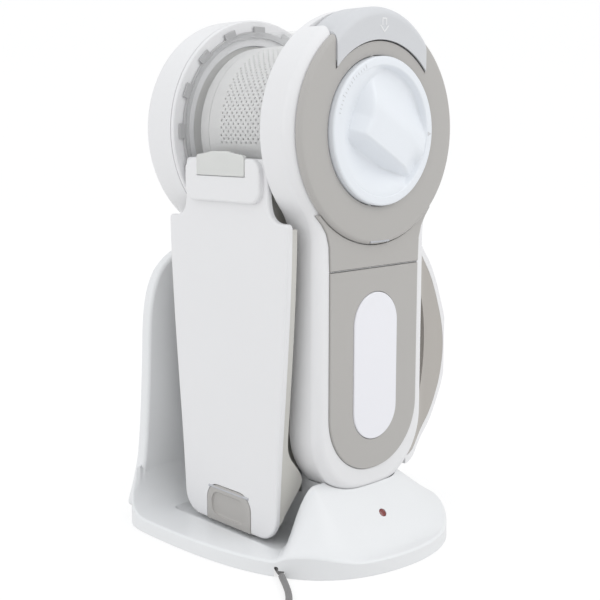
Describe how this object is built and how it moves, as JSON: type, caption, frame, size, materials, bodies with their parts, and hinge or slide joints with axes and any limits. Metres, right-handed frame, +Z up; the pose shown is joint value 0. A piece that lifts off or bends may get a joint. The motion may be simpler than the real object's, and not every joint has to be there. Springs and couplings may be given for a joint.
{
  "type": "cordless handheld vacuum with charging stand",
  "caption": "Cordless handheld vacuum with a folding nozzle, clear side-mounted dust bowl and loop handle, standing in its charging stand.",
  "frame": {"origin": "centre of the stand's underside, straight below the nozzle pivot", "axes": "+X towards the stand's front and the cleaning wheel, along the nozzle pivot; -Y the side the folded nozzle hangs on; +Z up"},
  "size_m": [0.2797, 0.2831, 0.3132],
  "materials": {
    "shell_white": "satin white moulded plastic",
    "stand_white": "satin white moulded plastic",
    "soft_grey": "soft-touch warm grey",
    "duct_grey": "fine-textured warm grey plastic",
    "wheel_white": "satin bluish white plastic",
    "latch_grey": "matte light grey plastic",
    "badge_white": "gloss white plastic",
    "clear": "clear moulded plastic",
    "screen_white": "matte white plastic",
    "filter_paper": "pleated filter medium",
    "rubber_dark": "matte black rubber",
    "steel": "zinc-plated steel",
    "brass": "bright contact metal",
    "cell_wrap": "shrink-wrapped cells",
    "board_green": "solder-masked board",
    "lamp_red": "red lamp lens",
    "cord_grey": "grey vinyl jacket",
    "adapter_grey": "textured dark grey plastic"
  },
  "bodies": {
    "stand": {"stand_body": "stand_white", "stand_base_cover": "adapter_grey", "charge_lamp": "lamp_red", "charge_contact_1": "brass", "charge_contact_2": "brass", "cord_strain_relief": "cord_grey", "cord": "cord_grey", "cord_coil": "cord_grey", "cord_tail": "cord_grey", "cord_tie": "rubber_dark", "wall_adapter": "adapter_grey", "adapter_pin_1": "brass", "adapter_pin_2": "brass", "rubber_foot_1": "rubber_dark", "base_screw_1": "steel", "rubber_foot_2": "rubber_dark", "base_screw_2": "steel", "rubber_foot_3": "rubber_dark", "base_screw_3": "steel", "rubber_foot_4": "rubber_dark", "base_screw_4": "steel"},
    "vacuum_body": {"right_housing": "shell_white", "left_housing": "shell_white", "right_grip_panel": "soft_grey", "left_grip_panel": "soft_grey", "right_upper_panel": "soft_grey", "left_upper_panel": "soft_grey", "right_badge": "badge_white", "left_badge": "badge_white", "handle_spine": "shell_white", "handle_grip": "soft_grey", "motor_plate": "duct_grey", "motor": "steel", "exhaust_grille": "shell_white", "battery_pack_left": "cell_wrap", "battery_pack_right": "cell_wrap", "charge_board": "board_green", "charge_terminal_left": "brass", "charge_terminal_right": "brass", "latch_spring": "steel", "door_hinge_pin": "steel"},
    "side_door": {"door_ring": "soft_grey"},
    "cleaning_wheel": {"cleaning_wheel": "wheel_white", "wheel_drive_dog": "duct_grey"},
    "filter": {"pleated_filter": "filter_paper"},
    "latch": {"release_latch": "latch_grey"},
    "switch": {"power_switch": "latch_grey"},
    "fan": {"fan": "duct_grey", "motor_shaft": "steel"},
    "nozzle": {"nozzle_cover": "shell_white", "nozzle_duct": "duct_grey", "neck_window": "clear", "dust_bowl": "clear", "bowl_end_ring": "latch_grey", "bowl_seal": "rubber_dark", "prefilter_screen": "screen_white", "tip_flap_pin": "steel"},
    "tip_flap": {"tip_flap": "soft_grey"}
  },
  "joints": [
    {"name": "lift_off_stand", "type": "slide", "parent": "stand", "child": "vacuum_body", "axis": [0, 0, 1], "range_m": [0, 0.25]},
    {"name": "nozzle_pivot", "type": "hinge", "parent": "vacuum_body", "child": "nozzle", "pos_m": [0, 0, 0.245], "axis": [-1, 0, 0], "range_deg": [0, 200]},
    {"name": "tip_flap_hinge", "type": "hinge", "parent": "nozzle", "child": "tip_flap", "pos_m": [0, -0.0601, 0.0303], "axis": [-1, 0, 0], "range_deg": [0, 105]},
    {"name": "side_door_hinge", "type": "hinge", "parent": "vacuum_body", "child": "side_door", "pos_m": [0.065, 0, 0.1828], "axis": [0, 1, 0], "range_deg": [0, 90]},
    {"name": "cleaning_wheel_spin", "type": "hinge", "parent": "side_door", "child": "cleaning_wheel", "pos_m": [0.066, 0, 0.245], "axis": [1, 0, 0], "continuous": true},
    {"name": "filter_spin", "type": "hinge", "parent": "vacuum_body", "child": "filter", "pos_m": [0, 0, 0.245], "axis": [1, 0, 0], "continuous": true},
    {"name": "release_latch_press", "type": "slide", "parent": "vacuum_body", "child": "latch", "axis": [0, 0, -1], "range_m": [0, 0.0025], "stiffness_N_per_m": 900},
    {"name": "power_switch_slide", "type": "slide", "parent": "vacuum_body", "child": "switch", "axis": [0, 0.972, -0.2351], "range_m": [0, 0.008]},
    {"name": "fan_spin", "type": "hinge", "parent": "vacuum_body", "child": "fan", "pos_m": [0, 0, 0.245], "axis": [1, 0, 0], "continuous": true}
  ],
  "couplings": [
    {"joint": "filter_spin", "follows": "cleaning_wheel_spin", "ratio": 1}
  ]
}
